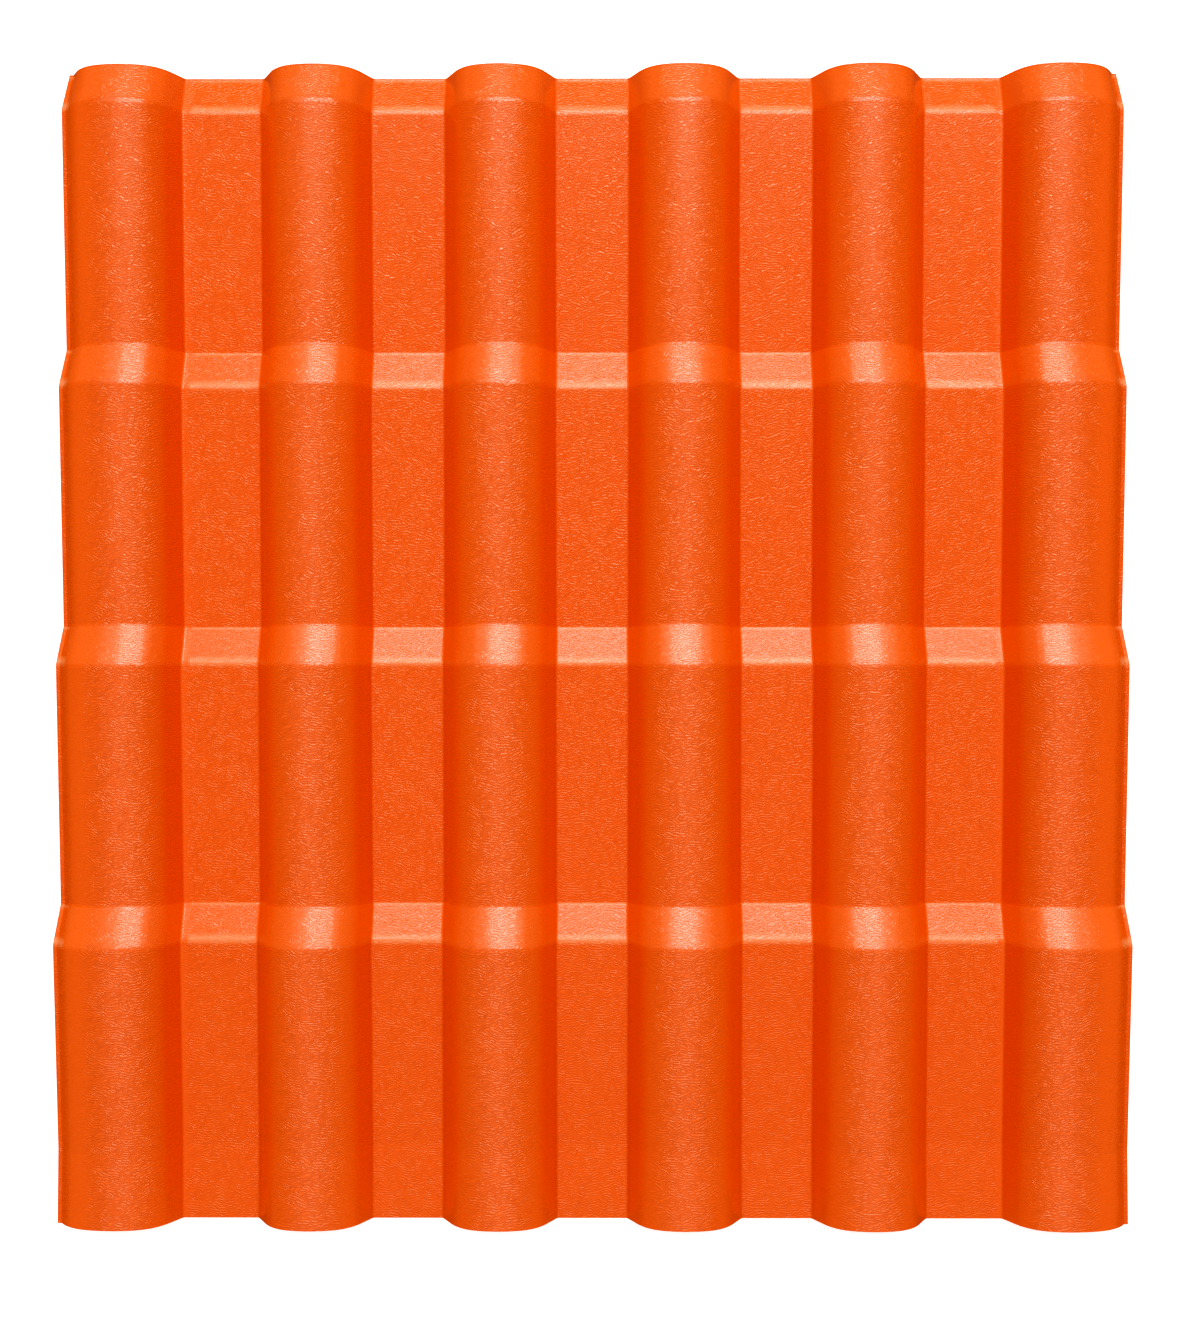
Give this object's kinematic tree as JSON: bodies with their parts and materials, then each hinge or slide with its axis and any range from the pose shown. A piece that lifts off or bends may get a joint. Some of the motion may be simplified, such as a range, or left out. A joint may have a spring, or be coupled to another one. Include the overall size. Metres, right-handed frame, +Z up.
{
  "type": "roofing sheet",
  "caption": "Rigid vinyl roofing sheet formed into barrel ribs and flat troughs, stepped crosswise to look like courses of clay tiles.",
  "frame": {"origin": "centre of the sheet's length and width, at the underside of its lowest trough lines", "axes": "+Y along the ribs towards the upper end, +X across the ribs, +Z up out of the weather face"},
  "size_m": [0.8654, 0.933, 0.044],
  "materials": {
    "sheet": "saturated orange vinyl, satin, with a fine wrinkled grain on the upper face"
  },
  "bodies": {
    "root": {"roofing_sheet": "sheet"}
  },
  "joints": []
}
